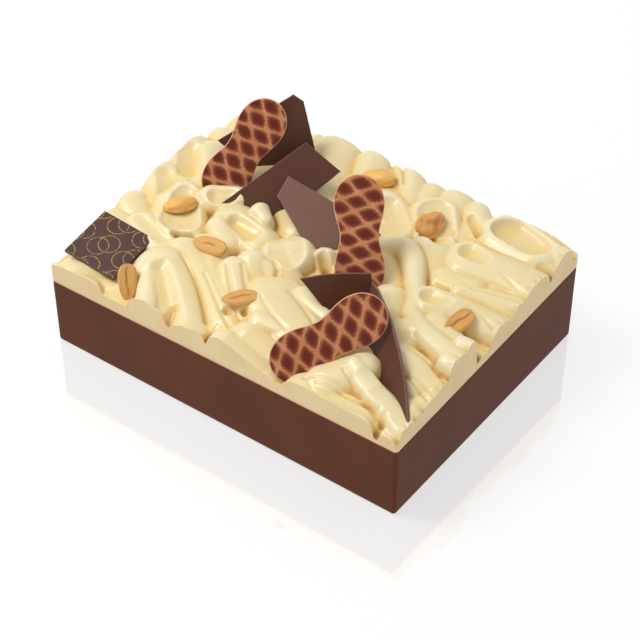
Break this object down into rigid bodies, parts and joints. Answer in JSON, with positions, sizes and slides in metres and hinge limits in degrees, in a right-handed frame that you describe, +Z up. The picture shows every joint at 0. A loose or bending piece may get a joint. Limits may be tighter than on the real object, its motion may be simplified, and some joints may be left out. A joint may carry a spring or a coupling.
{
  "type": "entremet cake",
  "caption": "Rectangular entremet: a dark chocolate base layer under folded pale cream, set with chocolate shards, peanut-shaped plaques and roasted peanut halves.",
  "frame": {"origin": "middle of the cake's underside, on the surface that it stands on", "axes": "+X along the long side, towards the corner that the blade-shaped shard points at; -Y towards the long front side; +Z up"},
  "size_m": [0.2, 0.152, 0.0927],
  "materials": {
    "base": "dark chocolate mousse with a smooth, dull cut side",
    "cream": "smooth whipped cream, softly glossy on top and dull on the cut sides",
    "dark_chocolate": "tempered dark chocolate, satin",
    "pale_chocolate": "tempered dark chocolate that mirrors the bright room, satin",
    "printed_plaque": "milk chocolate with a reddish brown lattice print",
    "square_plaque": "dark chocolate with a plain gold scroll print",
    "roasted_nut": "roasted peanut half, dull"
  },
  "bodies": {
    "root": {"base_layer": "base", "cream_layer": "cream", "shard_back": "dark_chocolate", "shard_middle": "dark_chocolate", "shard_pale": "pale_chocolate", "shard_front": "dark_chocolate", "shard_blade": "dark_chocolate", "plaque_back": "printed_plaque", "plaque_middle": "printed_plaque", "plaque_front": "printed_plaque", "plaque_square": "square_plaque", "nut_front_left": "roasted_nut", "nut_left": "roasted_nut", "nut_centre": "roasted_nut", "nut_boat": "roasted_nut", "nut_back": "roasted_nut", "nut_right_back": "roasted_nut", "nut_right": "roasted_nut"}
  },
  "joints": []
}
